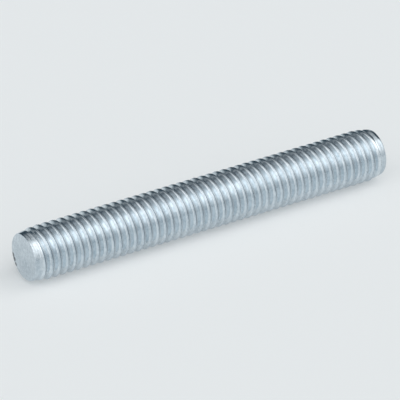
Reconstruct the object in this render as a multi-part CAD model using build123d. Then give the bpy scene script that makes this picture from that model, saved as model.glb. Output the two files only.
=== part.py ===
from build123d import *
import os
from math import radians, tan

# ---------------------------------------------------------------------------
# A short piece of zinc-plated threaded rod, M8 x 1.25, lying on a flat surface.
#
# Frame: the rod's axis runs along +X, and +Z is up. The origin is on the
# surface that the rod lies on, under the middle of the rod's length.
# All sizes are in millimetres.
# ---------------------------------------------------------------------------

# Driving dimensions of the thread
LENGTH = 60.0          # over both end faces
PITCH = 1.25
MAJOR_D = 7.9          # over the crests: nominal 8, class 6g
PITCH_D = 7.13         # where ridge and groove are equally wide
MINOR_D = 6.42         # at the bottom of the groove
FLANK_ANGLE = 30.0     # between a flank and the plane square to the axis
GROOVE_AT = -0.36      # where the groove crosses the underside, from mid-length
SEAM_TURN = 25.0       # degrees from the underside to the line where turns of face meet

# Driving dimensions of the two ends, measured inwards from the end face
FACE_D = 7.0           # the flat left on the end
RIM_BREAK = 0.12       # small bevel between the flat and the lead-in cone
LEAD_IN = 2.4          # where the crests reach their full height
CLOSED_LENGTH = 0.5    # where the groove starts
RUN_OUT = 1.3          # stretch over which the groove then gets its full depth

# Worked out from them
R_CREST = MAJOR_D / 2
R_PITCH = PITCH_D / 2
R_ROOT = MINOR_D / 2
R_FACE = FACE_D / 2
FLANK_SLOPE = tan(radians(FLANK_ANGLE))
CREST_FLAT = PITCH / 2 - 2 * (R_CREST - R_PITCH) * FLANK_SLOPE
ROOT_FLAT = PITCH / 2 - 2 * (R_PITCH - R_ROOT) * FLANK_SLOPE
FLANK_RUN = (PITCH - CREST_FLAT - ROOT_FLAT) / 2
CONE_SLOPE = (R_CREST - R_FACE) / LEAD_IN

SPARE_TURNS = 2        # turns of thread past each end face, cut off again
CLEAR = 0.5            # how far a cutting shape stands outside what it cuts


def cone_radius(distance):
    """Radius of the lead-in cone at this distance from the end face."""
    return R_FACE + CONE_SLOPE * distance


def endless_thread():
    """A right-hand thread along Z, longer than the rod.

    One pitch of the section has a root flat, a flank, a crest flat and a
    flank. Each of them is swept round as one face a turn, ruled between the
    two helices at its edges, so every face shares its edges with the next.
    """
    turns = round(LENGTH / PITCH) + 2 * SPARE_TURNS
    seam_rise = PITCH * SEAM_TURN / 360
    bottom = GROOVE_AT + seam_rise - turns * PITCH / 2 - ROOT_FLAT / 2
    corners = [
        (0.0, R_ROOT),
        (ROOT_FLAT, R_ROOT),
        (ROOT_FLAT + FLANK_RUN, R_CREST),
        (ROOT_FLAT + FLANK_RUN + CREST_FLAT, R_CREST),
    ]
    section = [
        (bottom + turn * PITCH + offset, radius)
        for turn in range(turns)
        for offset, radius in corners
    ]
    section.append((bottom + turns * PITCH, R_ROOT))
    helices = [
        Edge.make_helix(PITCH, PITCH, radius, center=(0, 0, height))
        for height, radius in section
    ]
    skin = [
        Face.make_surface_from_curves(lower, upper)
        for lower, upper in zip(helices, helices[1:])
    ]
    first_pitch = section[: len(corners) + 1]
    last_pitch = [(height + PITCH, radius) for height, radius in section[-len(corners) - 1 :]]
    skin += end_of_ribbon(first_pitch, helices[0])
    skin += end_of_ribbon(last_pitch, helices[-1])
    return Solid(Shell(skin))


def end_of_ribbon(pitch_section, root_helix):
    """The two faces that close one end of the thread: a step and a ramp."""
    heights = [height for height, _ in pitch_section]
    outline = [(0, 0, heights[0])]
    outline += [(radius, 0, height) for height, radius in pitch_section]
    outline += [(0, 0, heights[-1])]
    step = Face(Wire.make_polygon(outline, close=True))
    axis = Edge.make_line(outline[0], outline[-1])
    ramp = Face.make_surface_from_curves(axis, root_helix)
    return [step, ramp]


def end_plug(face_height, inward):
    """A cone that fills the groove near an end face, so that it fades out."""
    groove_slope = (cone_radius(CLOSED_LENGTH) - R_ROOT) / RUN_OUT
    outside = -CLEAR
    inside = CLOSED_LENGTH + RUN_OUT + CLEAR
    wide = cone_radius(CLOSED_LENGTH) + groove_slope * (CLOSED_LENGTH - outside)
    narrow = R_ROOT - groove_slope * CLEAR
    profile = Polyline(
        (0, face_height + inward * outside),
        (wide, face_height + inward * outside),
        (narrow, face_height + inward * inside),
        (0, face_height + inward * inside),
        close=True,
    )
    return revolve(Plane.XZ * make_face(profile), Axis.Z)


def envelope():
    """The turned outline that every crest and both ends stay inside."""
    half = LENGTH / 2
    past_crest = LEAD_IN + CLEAR
    end = [
        (0, half),
        (R_FACE - RIM_BREAK, half),
        (cone_radius(RIM_BREAK), half - RIM_BREAK),
        (cone_radius(past_crest), half - past_crest),
        (R_CREST + CLEAR, half - past_crest),
    ]
    outline = end + [(radius, -height) for radius, height in reversed(end)]
    profile = Polyline(*outline, close=True)
    return revolve(Plane.XZ * make_face(profile), Axis.Z)


def threaded_rod():
    """The thread with both ends plugged, turned to its outline, laid along X."""
    half = LENGTH / 2
    filled = endless_thread().fuse(end_plug(half, -1), end_plug(-half, 1))
    standing = filled & envelope()
    turned = Rotation(0, 0, SEAM_TURN) * standing
    lying = Location((0, 0, R_CREST)) * Rotation(0, 90, 0) * turned
    return lying.solid()


def main():
    os.makedirs("parts", exist_ok=True)
    rod = threaded_rod()
    rod.label = "threaded_rod"
    export_step(rod, "parts/threaded_rod.step")
    print("crest flat", round(CREST_FLAT, 3), "root flat", round(ROOT_FLAT, 3))
    print("volume", round(rod.volume, 1), "valid", rod.is_valid)
    print("box", rod.bounding_box())


main()
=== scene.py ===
# %% [markdown]
# # A zinc-plated threaded rod, from the inside out
#
# The object is a 60 mm length of M8 threaded rod, lying on a pale table. It is one piece of
# steel: a bar rolled to a thread over its whole length, cut, bevelled at both ends and dipped
# in a zinc plating bath. The lesson has four steps. The thread comes first, built by rule with
# Geometry Nodes. Then comes the plating, which is all in the shader. Then the table and the
# light, and last the camera. Everything is in metres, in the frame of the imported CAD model.

import bpy
from math import cos, pi, radians, sin, tan
from mathutils import Matrix, Vector


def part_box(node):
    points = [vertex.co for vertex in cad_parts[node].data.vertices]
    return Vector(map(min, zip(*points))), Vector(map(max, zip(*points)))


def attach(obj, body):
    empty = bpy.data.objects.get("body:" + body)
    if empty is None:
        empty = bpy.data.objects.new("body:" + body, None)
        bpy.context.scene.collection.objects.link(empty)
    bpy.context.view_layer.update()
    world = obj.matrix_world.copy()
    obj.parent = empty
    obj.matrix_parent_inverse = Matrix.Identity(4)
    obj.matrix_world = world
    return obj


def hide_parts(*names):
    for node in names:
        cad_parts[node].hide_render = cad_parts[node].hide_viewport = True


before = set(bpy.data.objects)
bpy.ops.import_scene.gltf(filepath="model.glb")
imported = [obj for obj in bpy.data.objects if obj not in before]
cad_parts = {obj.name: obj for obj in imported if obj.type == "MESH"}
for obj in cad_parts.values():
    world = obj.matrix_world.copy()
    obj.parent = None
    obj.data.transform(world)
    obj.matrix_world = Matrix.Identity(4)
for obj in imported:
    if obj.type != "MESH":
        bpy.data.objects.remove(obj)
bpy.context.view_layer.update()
low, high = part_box("threaded_rod")
print("CAD box, mm:", [round(v * 1000, 3) for v in (*low, *high)])

# %% [markdown]
# ## Two small classes for node trees
#
# Node trees are easiest to read as expressions. `Value` wraps one output socket. Adding,
# subtracting, multiplying or dividing two of them adds a Math node. `Net` wraps a tree, and
# its one method `node` makes any other node: its type, then its settings, then the values
# or links of its sockets. The same two classes serve the geometry tree, the materials and
# the world.

# %% Value and Net
class Value:
    """One output socket of a node, with arithmetic that adds Math nodes."""

    def __init__(self, net, socket):
        self.net = net
        self.socket = socket

    def out(self, name):
        return Value(self.net, self.socket.node.outputs[name])

    def __add__(self, other):
        return self.net.math("ADD", self, other)

    def __sub__(self, other):
        return self.net.math("SUBTRACT", self, other)

    def __mul__(self, other):
        return self.net.math("MULTIPLY", self, other)

    def __truediv__(self, other):
        return self.net.math("DIVIDE", self, other)

    def __rsub__(self, other):
        return self.net.math("SUBTRACT", other, self)

    def __rtruediv__(self, other):
        return self.net.math("DIVIDE", other, self)

    __radd__ = __add__
    __rmul__ = __mul__


class Net:
    """A node tree that is filled by plain calls."""

    def __init__(self, tree):
        self.tree = tree

    def node(self, kind, settings=None, sockets=None, out=0):
        node = self.tree.nodes.new(kind)
        for name, setting in (settings or {}).items():
            setattr(node, name, setting)
        for name, value in (sockets or {}).items():
            if isinstance(value, Value):
                self.tree.links.new(value.socket, node.inputs[name])
            else:
                node.inputs[name].default_value = value
        return Value(self, node.outputs[out]) if node.outputs else node

    def math(self, operation, *values):
        sockets = dict(enumerate(values))
        return self.node("ShaderNodeMath", {"operation": operation}, sockets)

    def clamp(self, value, least=0.0, most=1.0):
        return self.node("ShaderNodeClamp", {}, {"Value": value, "Min": least, "Max": most})

    def ramp(self, value, start, end):
        """0 below start, 1 above end, and smooth between."""
        sockets = {"Value": value, "From Min": start, "From Max": end}
        return self.node("ShaderNodeMapRange", {"interpolation_type": "SMOOTHSTEP"}, sockets)

    def vector(self, x, y, z):
        return self.node("ShaderNodeCombineXYZ", {}, {"X": x, "Y": y, "Z": z})

    def split(self, vector):
        parts = self.node("ShaderNodeSeparateXYZ", {}, {"Vector": vector})
        return parts.out("X"), parts.out("Y"), parts.out("Z")

    def mix(self, factor, colour_a, colour_b):
        sockets = {0: factor, 6: colour_a, 7: colour_b}
        return self.node("ShaderNodeMix", {"data_type": "RGBA"}, sockets, out=2)


print("node helpers ready")

# %% [markdown]
# ## The sizes of the thread
#
# An M8 coarse thread rises 1.25 mm a turn, and its flanks stand 30 degrees from square. The
# crest diameter and the length come from the CAD box, so the two models can't drift apart.
# The root, the end faces and the lead-in cone repeat the CAD model's driving sizes.

# %% Thread sizes
MM = 0.001
rod_length = high[0] - low[0]
crest_radius = (high[2] - low[2]) / 2
SIZES = {
    "Length": rod_length,
    "Crest Radius": crest_radius,
    "Pitch Radius": 7.13 * MM / 2,
    "Root Radius": 6.42 * MM / 2,
    "Pitch": 1.25 * MM,
    "Groove At": -0.36 * MM,
    "Crest Round": 0.27 * MM,
    "Root Round": 0.20 * MM,
    "Face Radius": 7.0 * MM / 2,
    "Rim Break": 0.12 * MM,
    "Lead In": 2.4 * MM,
    "Closed Length": 0.5 * MM,
    "Run Out": 1.3 * MM,
    "Unevenness": 0.022 * MM,
}
FLANK_SLOPE = tan(radians(30))
crest_flat_half = SIZES["Pitch"] / 4 - (crest_radius - SIZES["Pitch Radius"]) * FLANK_SLOPE
overshoot = crest_flat_half / FLANK_SLOPE
blend_left = max(0.0, 1 - overshoot / SIZES["Crest Round"])
SIZES["Crest Lift"] = blend_left**3 * SIZES["Crest Round"] / 6
COLUMNS_PER_TURN = 96
STEPS_PER_SIDE = 8
turns_drawn = 2 * (int(rod_length / SIZES["Pitch"] / 2) + 2)
print("crest radius, mm:", round(crest_radius / MM, 3), "turns drawn:", turns_drawn)

# %% [markdown]
# ## The thread as a wrapped sheet
#
# A screw modifier could spin one tooth into a thread, but its faces would end in a ragged
# step at each end. A boolean would leave slivers. Here the thread is a flat grid that is
# wrapped by rule. One side of the grid runs along the helix and the other runs across one
# pitch, from crest centre to crest centre. So the mesh lines follow the crest and root edges
# exactly, and neighbouring turns meet point on point and merge. The radius is a formula of
# the place: the greater of the root and the plug that closes the groove at the ends, and the
# smaller of the flank and the lead-in cone. Smooth minimum and maximum round the corners,
# as rolling and plating do.

# %% The tree's inputs
tree = bpy.data.node_groups.new("rolled thread", "GeometryNodeTree")
net = Net(tree)
tree.interface.new_socket("Geometry", in_out="OUTPUT", socket_type="NodeSocketGeometry")
for size_name in SIZES:
    tree.interface.new_socket(size_name, in_out="INPUT", socket_type="NodeSocketFloat")
tree.interface.new_socket("Seed", in_out="INPUT", socket_type="NodeSocketInt")
tree.interface.new_socket("Material", in_out="INPUT", socket_type="NodeSocketMaterial")
given = net.node("NodeGroupInput")
length = given.out("Length")
crest = given.out("Crest Radius")
root = given.out("Root Radius")
pitch = given.out("Pitch")
face_radius = given.out("Face Radius")
rim_break = given.out("Rim Break")
closed = given.out("Closed Length")
half_length = length * 0.5
print("inputs:", len(tree.interface.items_tree))

# %% Outline formulas
cone_slope = (crest - face_radius) / given.out("Lead In")
crest_half = pitch * 0.25 - (crest - given.out("Pitch Radius")) * FLANK_SLOPE
root_half = pitch * 0.25 - (given.out("Pitch Radius") - root) * FLANK_SLOPE
root_round = given.out("Root Round")
crest_lift = given.out("Crest Lift")


def cone_radius(distance):
    """Radius of the lead-in cone at a distance from the end face."""
    return face_radius + cone_slope * distance


closed_radius = cone_radius(closed)


def ridge_limit(distance):
    """How far out the metal may stand at a distance from the end face."""
    return net.math("MINIMUM", crest, cone_radius(distance))


def groove_floor(distance):
    """How deep the groove may go at a distance from the end face."""
    fade = net.clamp((distance - closed) / given.out("Run Out"))
    return closed_radius + fade * (root - closed_radius)


def walk(place, knots):
    """A length that passes through the knots at place = 0, 1, 2 and so on."""
    total = knots[0]
    for step in range(len(knots) - 1):
        total = total + net.clamp(place - step) * (knots[step + 1] - knots[step])
    return total


print("outline formulas ready")

# %% The wrapped sheet
columns = turns_drawn * COLUMNS_PER_TURN
rows = 2 * STEPS_PER_SIDE
sheet = net.node(
    "GeometryNodeMeshGrid",
    {},
    {"Size X": 1.0, "Size Y": 1.0, "Vertices X": columns + 1, "Vertices Y": rows + 1},
)
index = net.node("GeometryNodeInputIndex")
column = net.math("FLOOR", (index + 0.5) / (rows + 1))
row = index - column * (rows + 1)
across = row - STEPS_PER_SIDE
side = net.math("SIGN", across)
place = net.math("ABSOLUTE", across)

column_turn = (column - columns / 2) / COLUMNS_PER_TURN
groove_x = column_turn * pitch + given.out("Groove At")
ridge_distance = half_length - net.math("ABSOLUTE", groove_x + side * pitch * 0.5)
groove_distance = half_length - net.math("ABSOLUTE", groove_x)
local_crest_half = crest_half + (crest - ridge_limit(ridge_distance)) * FLANK_SLOPE
local_root_half = root_half + (groove_floor(groove_distance) - root) * FLANK_SLOPE
step_width = root_round * 0.2
ridge_edge = pitch * 0.5 - local_crest_half
groove_edge = net.math("MINIMUM", local_root_half, ridge_edge - step_width * 2.5)
flank_start = groove_edge + step_width
flank_steps = STEPS_PER_SIDE - 2
along = walk(
    place,
    [0.0, groove_edge - step_width, flank_start]
    + [
        flank_start + (pitch * 0.5 - flank_start) * ((step + 1) / flank_steps)
        for step in range(flank_steps)
    ],
)
end_ring = half_length - closed
free_x = groove_x + side * along
x = net.node(
    "ShaderNodeClamp", {}, {"Value": free_x, "Min": end_ring * -1.0, "Max": end_ring}
)
distance = half_length - net.math("ABSOLUTE", x)
flank = given.out("Pitch Radius") + (along - pitch * 0.25) / FLANK_SLOPE
outer = net.math("SMOOTH_MIN", ridge_limit(distance), flank, given.out("Crest Round")) + crest_lift
radius = net.math("SMOOTH_MAX", groove_floor(distance), outer, root_round)
radius = net.math("MINIMUM", radius, ridge_limit(distance))
on_ring = net.math("COMPARE", net.math("ABSOLUTE", x), end_ring, 1e-7)
radius = radius + on_ring * (closed_radius - radius)
print("sheet:", columns, "columns,", rows, "rows")


# %% Wrap it round the axis
def wrap(column, x, radius):
    """A place on the rod: turn by the column, out by the radius, up by the crest radius."""
    angle = net.math("FLOORED_MODULO", column, COLUMNS_PER_TURN) * (2 * pi / COLUMNS_PER_TURN)
    y = radius * net.math("SINE", angle)
    z = crest - radius * net.math("COSINE", angle)
    return net.vector(x, y, z)


wrapped = net.node(
    "GeometryNodeSetPosition", {}, {"Geometry": sheet, "Position": wrap(column, x, radius)}
)
print("sheet wrapped")

# %% [markdown]
# ## The two end faces
#
# Each end is a second, small grid with the same columns. Its rows walk from the centre of
# the flat face to the rim, over the small bevel there, and up the cone to the ring where the
# groove begins. The far end is the near one mirrored, with its faces turned back outwards.

# %% An end cap
CAP_ROWS = 7
cap_sheet = net.node(
    "GeometryNodeMeshGrid",
    {},
    {
        "Size X": 1.0,
        "Size Y": 1.0,
        "Vertices X": COLUMNS_PER_TURN + 1,
        "Vertices Y": CAP_ROWS + 1,
    },
)
cap_column = net.math("FLOOR", (index + 0.5) / (CAP_ROWS + 1))
cap_row = index - cap_column * (CAP_ROWS + 1)
face_edge = face_radius - rim_break
cap_radius = walk(
    cap_row,
    [
        0.0,
        face_edge * 0.5,
        face_edge * 0.9,
        face_edge - rim_break * 0.2,
        face_edge + rim_break * 0.25,
        cone_radius(rim_break) - rim_break * 0.25,
        cone_radius(rim_break * 1.3),
        closed_radius,
    ],
)
cap_depth = walk(
    cap_row,
    [
        0.0,
        0.0,
        0.0,
        0.0,
        rim_break * 0.15,
        rim_break * 0.75,
        rim_break * 1.3,
        closed,
    ],
)
cap = net.node(
    "GeometryNodeSetPosition",
    {},
    {
        "Geometry": cap_sheet,
        "Position": wrap(cap_column, cap_depth - half_length, cap_radius),
    },
)
mirrored = net.node(
    "GeometryNodeTransform", {}, {"Geometry": cap, "Scale": (-1.0, 1.0, 1.0)}
)
far_cap = net.node("GeometryNodeFlipFaces", {}, {"Mesh": mirrored})
print("end cap rows:", CAP_ROWS)

# %% [markdown]
# ## Joined, and a little uneven
#
# The sheet and the two caps meet point on point, so Merge by Distance closes them into one
# skin. Each point then keeps how deep it lies in the groove, for the plating to read. No
# rolled ridge is perfectly even: dies wear, and rods knock against each other. Sculpting
# dents would be slow and would never repeat. Noise with a fixed seed pushes the skin in by
# about two hundredths of a millimetre at most, and never out, so the box does not grow.

# %% Join, merge and mark the depth
joined = net.node("GeometryNodeJoinGeometry")
for part in (wrapped, cap, far_cap):
    tree.links.new(part.socket, joined.socket.node.inputs[0])
merged = net.node(
    "GeometryNodeMergeByDistance", {}, {"Geometry": joined, "Distance": 0.001 * MM}
)
here = net.node("GeometryNodeInputPosition")
here_x, here_y, here_z = net.split(here)
from_axis = net.math("SQRT", here_y * here_y + (here_z - crest) * (here_z - crest))
depth = net.clamp((crest - from_axis) / (crest - root))
marked = net.node(
    "GeometryNodeStoreNamedAttribute",
    {"data_type": "FLOAT", "domain": "POINT"},
    {"Geometry": merged, "Name": "groove", "Value": depth},
)
print("skin joined, tree nodes:", len(tree.nodes))

# %% Uneven ridges, then the end of the tree
DENTS_PER_MM = 0.9
SEED_STEP = 1.7
DENT_START = 0.42
DENT_STEEPNESS = 3.0
uneven = net.node(
    "ShaderNodeTexNoise",
    {"noise_dimensions": "4D"},
    {
        "Vector": here,
        "W": given.out("Seed") * SEED_STEP,
        "Scale": DENTS_PER_MM / MM,
        "Detail": 2.0,
    },
)
off_the_face = net.clamp((half_length - net.math("ABSOLUTE", here_x)) / closed)
dented_share = net.clamp((uneven - DENT_START) * DENT_STEEPNESS)
pushed_in = dented_share * off_the_face * given.out("Unevenness")
shrink = pushed_in * -1.0 / net.math("MAXIMUM", from_axis, face_radius * 0.5)
inward = net.vector(0.0, here_y * shrink, (here_z - crest) * shrink)
dented = net.node("GeometryNodeSetPosition", {}, {"Geometry": marked, "Offset": inward})
smooth = net.node("GeometryNodeSetShadeSmooth", {}, {"Geometry": dented})
real = net.node("GeometryNodeRealizeInstances", {}, {"Geometry": smooth})
painted = net.node(
    "GeometryNodeSetMaterial", {}, {"Geometry": real, "Material": given.out("Material")}
)
net.node("NodeGroupOutput", {}, {"Geometry": painted})
print("tree nodes:", len(tree.nodes))

# %% [markdown]
# ## The zinc plating
#
# Zinc plating is a bright, slightly blue metal a few micrometres thick. Up close it isn't
# even: it has cloudy spots and fine marks left round the thread by the rolling dies. On top
# of that, the roots are painted darker: this is painted shade, for the shadow that falls deep
# in the grooves. A picture wrapped on the rod would need an unwrapping that follows the helix.
# Noise in Object coordinates needs none. It is squeezed along the axis for the marks that run
# round the rod, and left round for the clouds. The end faces are sawn and not rolled, so they
# have straight marks of their own, and the near one has three small nicks at its rim. Each
# layer is a mask from 0 to 1, or a noise about 0, and three short tables say how much of each
# goes into the dullness of the colour, the roughness and the fine relief.

# %% Where each finish lies
zinc = bpy.data.materials.new("zinc plate")
zinc.use_nodes = True
zinc.node_tree.nodes.clear()
mat = Net(zinc.node_tree)
place_mm = mat.node(
    "ShaderNodeVectorMath",
    {"operation": "SCALE"},
    {"Vector": mat.node("ShaderNodeTexCoord").out("Object"), "Scale": 1 / MM},
)
x_mm, y_mm, z_mm = mat.split(place_mm)
groove = mat.node("ShaderNodeAttribute", {"attribute_name": "groove"}, out=2)


def noise(vector, scale, detail, roughness):
    """Plain noise from 0 to 1, at so many features a millimetre."""
    sockets = {"Vector": vector, "Scale": scale, "Detail": detail, "Roughness": roughness}
    return mat.node("ShaderNodeTexNoise", {}, sockets)


def stretch(x_scale, y_scale, z_scale):
    """The place in millimetres, squeezed or drawn out along each axis."""
    return mat.vector(x_mm * x_scale, y_mm * y_scale, z_mm * z_scale)


# Where each mask begins and ends: by depth in the groove, or by millimetres from the end
ROOT_DEPTHS = (0.84, 1.0)
CREST_DEPTHS = (0.02, 0.20)
FACE_FADE = (0.04, 0.01)
CONE_FADE = (1.3, 0.5)
half_mm = rod_length / MM / 2
past_middle = mat.math("ABSOLUTE", x_mm)
on_face = mat.ramp(past_middle, half_mm - FACE_FADE[0], half_mm - FACE_FADE[1])
on_cone = mat.ramp(past_middle, half_mm - CONE_FADE[0], half_mm - CONE_FADE[1])
on_cone = on_cone * (1 - on_face)
in_root = mat.ramp(groove, *ROOT_DEPTHS) * (1 - on_face)
on_crest = 1 - mat.ramp(groove, *CREST_DEPTHS)
print("finish masks:", len(mat.tree.nodes), "nodes")

# %% Nicks in the near rim
# Each has its turn about the axis in degrees, then its distance from the axis and its size,
# both in millimetres
NICKS = ((-17.0, 3.20, 0.36), (-29.0, 3.10, 0.40), (-43.0, 3.24, 0.32))


def nick(turn, radius, size):
    """1 in a small round nick, fading to 0 just past its edge."""
    across = y_mm - radius * cos(radians(turn))
    above = z_mm - crest_radius / MM - radius * sin(radians(turn))
    gap = mat.math("SQRT", across * across + above * above)
    return 1 - mat.ramp(gap, size * 0.5, size * 1.2)


on_near_face = on_face * mat.math("LESS_THAN", x_mm, 0.0)
nicked = sum(nick(*one) for one in NICKS) * on_near_face
print("nicks:", len(NICKS))

# %% Clouds, spots and marks
clouds = noise(place_mm, scale=0.55, detail=3.0, roughness=0.6)
spots = noise(place_mm, scale=2.2, detail=2.0, roughness=0.6)
rolling_marks = noise(stretch(9.0, 0.5, 0.5), scale=1.0, detail=3.0, roughness=0.65)
saw_marks = noise(stretch(1.0, 7.0, 0.8), scale=1.0, detail=3.0, roughness=0.6)
marks = rolling_marks + on_face * (saw_marks - rolling_marks)
print("pattern nodes:", len(mat.tree.nodes))

# %% The plated surface
ZINC_BRIGHT = (0.72, 0.785, 0.83)
ZINC_DULL = (0.47, 0.545, 0.60)
# The root colour below is painted shade: it darkens the roots for the shadow in the grooves
PAINTED_ROOT_SHADE = (0.22, 0.27, 0.31)
DARK_NICK = (0.05, 0.06, 0.07)
DULLNESS = {
    "everywhere": 0.12,
    "crest": 0.60,
    "cone": 0.60,
    "face": 0.42,
    "clouds": 1.2,
    "marks": 1.3,
    "spots": 1.1,
}
ROUGHNESS = {
    "everywhere": 0.18,
    "clouds": 0.18,
    "marks": 0.16,
    "root": 0.10,
    "crest": 0.08,
    "face": 0.05,
}
RELIEF = {"everywhere": 0.0, "spots": 0.5, "marks": 0.5}
RELIEF_DEPTH = 0.009 * MM
# How strongly the painted shade darkens the roots
ROOT_SHADE_SHARE = 0.62
NICK_COVER = 0.85
layers = {
    "crest": on_crest,
    "cone": on_cone,
    "face": on_face,
    "root": in_root,
    "clouds": clouds - 0.5,
    "marks": marks - 0.5,
    "spots": spots - 0.5,
}


def weighed(shares):
    """The sum of the layers, each times its share."""
    total = shares["everywhere"]
    for layer, value in layers.items():
        if layer in shares:
            total = value * shares[layer] + total
    return total


plated = mat.mix(mat.clamp(weighed(DULLNESS)), (*ZINC_BRIGHT, 1), (*ZINC_DULL, 1))
# Painted shade: the roots are darkened towards the root colour, for the shadow in the grooves
root_shaded = mat.mix(in_root * ROOT_SHADE_SHARE, plated, (*PAINTED_ROOT_SHADE, 1))
worn = mat.mix(mat.clamp(nicked * NICK_COVER), root_shaded, (*DARK_NICK, 1))
roughness = mat.clamp(weighed(ROUGHNESS), 0.08, 0.6)
bump = mat.node(
    "ShaderNodeBump",
    {},
    {"Strength": 1.0, "Distance": RELIEF_DEPTH, "Height": weighed(RELIEF)},
)
surface = mat.node(
    "ShaderNodeBsdfPrincipled",
    {},
    {"Base Color": worn, "Metallic": 1.0, "Roughness": roughness, "Normal": bump},
)
mat.node("ShaderNodeOutputMaterial", {}, {"Surface": surface})
print("zinc nodes:", len(mat.tree.nodes))

# %% [markdown]
# ## From tree to mesh
#
# A modifier on an empty mesh runs the tree. Its result is copied to a plain mesh, and the
# modifier goes with its object. The finished piece can be checked before it is kept: a
# closed skin has every edge on just two faces, and its volume should be within one per
# cent of the solid model's.

# %% Run the tree and keep the mesh
DENT_SEED = 8
carrier = bpy.data.objects.new("thread maker", bpy.data.meshes.new("thread maker"))
bpy.context.collection.objects.link(carrier)
modifier = carrier.modifiers.new("rolled thread", "NODES")
modifier.node_group = tree
for item in tree.interface.items_tree:
    if item.in_out == "INPUT" and item.name in SIZES:
        modifier[item.identifier] = SIZES[item.name]
    elif item.in_out == "INPUT" and item.name == "Material":
        modifier[item.identifier] = zinc
    elif item.in_out == "INPUT" and item.name == "Seed":
        modifier[item.identifier] = DENT_SEED
evaluated = carrier.evaluated_get(bpy.context.evaluated_depsgraph_get())
rod_mesh = bpy.data.meshes.new_from_object(evaluated)
rod_mesh.name = "rod_thread"
bpy.data.objects.remove(carrier)
rod = bpy.data.objects.new("rod_thread", rod_mesh)
bpy.context.collection.objects.link(rod)
rod_mesh.calc_loop_triangles()
volume = 0.0
for triangle in rod_mesh.loop_triangles:
    a, b, c = (rod_mesh.vertices[i].co for i in triangle.vertices)
    volume += a.dot(b.cross(c)) / 6
edge_uses = {}
for polygon in rod_mesh.polygons:
    for key in polygon.edge_keys:
        edge_uses[key] = edge_uses.get(key, 0) + 1
print("triangles:", len(rod_mesh.loop_triangles), "volume, mm3:", round(volume / MM**3, 1))
print("edges not shared by two faces:", sum(1 for n in edge_uses.values() if n != 2))
print("loose edges:", len(rod_mesh.edges) - len(edge_uses))

# %% Tie the piece to the frame
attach(rod, "root")
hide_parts("threaded_rod")

# %% [markdown]
# ## The table and the light
#
# The rod lies on a pale lit table in a plain studio. What is seen in bright metal is mostly
# the room, so the room is what has to be right. Lamps would do, but their hard edges show as
# lines in every ridge. Here the world is the room: a direction is given by its share along
# the rod and by its roll over the rod from the front, and soft-edged panels are laid out in
# those two. They follow the rod, so a change to one moves one band along every ridge. The
# table glows a little, which stands for the light of a wider room and keeps the shadow
# under the rod pale.

# %% Table
FLOOR_COLOUR = (0.562, 0.577, 0.583)
TABLE_GLOW = (0.284, 0.298, 0.304)
TABLE_REACH = 0.8
floor_mesh = bpy.data.meshes.new("table")
corners = [(-1, -1), (1, -1), (1, 1), (-1, 1)]
floor_mesh.from_pydata(
    [(x_side * TABLE_REACH, y_side * TABLE_REACH, 0) for x_side, y_side in corners],
    [],
    [(0, 1, 2, 3)],
)
floor = bpy.data.objects.new("table", floor_mesh)
bpy.context.collection.objects.link(floor)
floor_material = bpy.data.materials.new("pale table")
floor_material.use_nodes = True
floor_material.node_tree.nodes.clear()
table_net = Net(floor_material.node_tree)
table_surface = table_net.node(
    "ShaderNodeBsdfPrincipled",
    {},
    {
        "Base Color": (*FLOOR_COLOUR, 1),
        "Roughness": 0.9,
        "Specular IOR Level": 0.0,
        "Emission Color": (*TABLE_GLOW, 1),
        "Emission Strength": 1.0,
    },
)
table_net.node("ShaderNodeOutputMaterial", {}, {"Surface": table_surface})
floor_mesh.materials.append(floor_material)
print("table, m:", 2 * TABLE_REACH)

# %% The room
ROOM = (0.76, 0.78, 0.79, 1)
LOW_ROOM = (0.62, 0.65, 0.67, 1)
LEFT_WALL = (1.12, 1.14, 1.15, 1)
DARK_BACK = (0.045, 0.07, 0.09, 1)
BACKDROP = (0.55, 0.60, 0.62, 1)
world = bpy.data.worlds.new("studio")
world.use_nodes = True
world.node_tree.nodes.clear()
sky = Net(world.node_tree)
to_x, to_y, to_z = sky.split(sky.node("ShaderNodeTexCoord").out("Generated"))

# The roll is in degrees: 0 level in front of the rod, 90 overhead, 180 level behind it
roll_over = sky.math("ARCTAN2", to_z, to_y * -1.0) * (180 / pi)
left = sky.ramp(to_x * -1.0, 0.55, 0.70)
above_table = sky.ramp(roll_over, 3.0, 14.0)
behind = sky.ramp(roll_over, 92.0, 112.0)
left_behind = left * sky.ramp(roll_over, 120.0, 165.0)
low_back = sky.ramp(roll_over, 172.0, 178.0)
room = sky.mix(above_table, LOW_ROOM, ROOM)
room = sky.mix(behind, room, DARK_BACK)
room = sky.mix(left, room, LEFT_WALL)
room = sky.mix(left_behind, room, DARK_BACK)
room = sky.mix(low_back, room, BACKDROP)
print("room nodes:", len(sky.tree.nodes))

# %% The light panels
# Each has its span along the rod, the rolls where it fades in and out, and its level
PANELS = {
    "wide front": ((-0.62, 0.62), (12.0, 45.0), (76.0, 92.0), 0.42),
    "high left": ((-0.60, -0.20), (35.0, 62.0), (72.0, 88.0), 0.68),
    "high right": ((0.20, 0.95), (30.0, 70.0), (78.0, 104.0), 0.40),
    "far right": ((0.47, 0.92), (18.0, 52.0), (80.0, 108.0), 0.60),
    "overhead, behind": ((-0.25, 0.42), (90.0, 112.0), (118.0, 156.0), 0.45),
}
PANEL_EDGE = 0.08
PANEL_PEAK = 4.0
PANEL_WHITE = (1.03, 1.0, 0.975)


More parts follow.
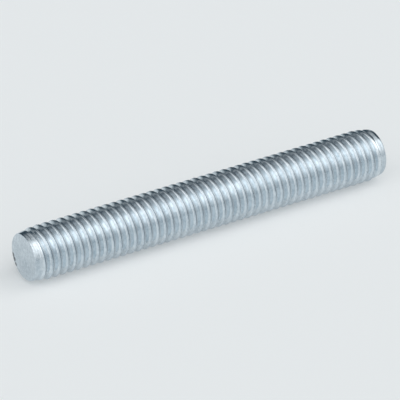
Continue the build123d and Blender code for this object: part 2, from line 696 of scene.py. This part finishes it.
def panel(x_span, fade_in, fade_out, level):
    """A soft-edged light panel."""
    begin = sky.ramp(to_x, x_span[0] - PANEL_EDGE, x_span[0] + PANEL_EDGE)
    end = 1 - sky.ramp(to_x, x_span[1] - PANEL_EDGE, x_span[1] + PANEL_EDGE)
    lifted = sky.ramp(roll_over, *fade_in) * (1 - sky.ramp(roll_over, *fade_out))
    return begin * end * lifted * level


panels = sum(panel(*PANELS[name]) for name in PANELS)
lit = sky.mix(sky.clamp(panels / PANEL_PEAK), (0, 0, 0, 1), (*PANEL_WHITE, 1))
ambient = sky.node("ShaderNodeBackground", {}, {"Color": room, "Strength": 1.0})
studio_light = sky.node("ShaderNodeBackground", {}, {"Color": lit, "Strength": PANEL_PEAK})
both = sky.node("ShaderNodeAddShader", {}, {0: ambient, 1: studio_light})
sky.node("ShaderNodeOutputWorld", {}, {"Surface": both})
bpy.context.scene.world = world
print("world nodes:", len(sky.tree.nodes))

# %% [markdown]
# ## The camera
#
# The rod is seen from its near end, from above and to one side. A short lens would make the
# near end look much larger than the far one. It doesn't here, so the lens is long and the
# camera stands well back.

# %% Camera
CAMERA_TURN = radians(32.37)
CAMERA_DIP = radians(28.33)
CAMERA_DISTANCE = 0.506
CAMERA_LENS = 314.0
AIM_SIDEWAYS = -0.483 * MM
AIM_UP = 0.462 * MM
level_share = cos(CAMERA_DIP)
look = Vector(
    (sin(CAMERA_TURN) * level_share, cos(CAMERA_TURN) * level_share, -sin(CAMERA_DIP))
)
right = Vector((cos(CAMERA_TURN), -sin(CAMERA_TURN), 0))
up = right.cross(look)
centre = Vector([(a + b) / 2 for a, b in zip(low, high)])
aim = centre + right * AIM_SIDEWAYS + up * AIM_UP
camera_data = bpy.data.cameras.new("camera")
camera_data.lens = CAMERA_LENS
camera_data.sensor_width = 36.0
camera_data.clip_start = 0.01
camera_data.clip_end = 10
camera = bpy.data.objects.new("camera", camera_data)
bpy.context.collection.objects.link(camera)
camera.matrix_world = Matrix.Translation(aim - look * CAMERA_DISTANCE) @ Matrix(
    (
        (right.x, up.x, -look.x),
        (right.y, up.y, -look.y),
        (right.z, up.z, -look.z),
    )
).to_4x4()
bpy.context.scene.camera = camera
bpy.context.scene.view_settings.view_transform = "Standard"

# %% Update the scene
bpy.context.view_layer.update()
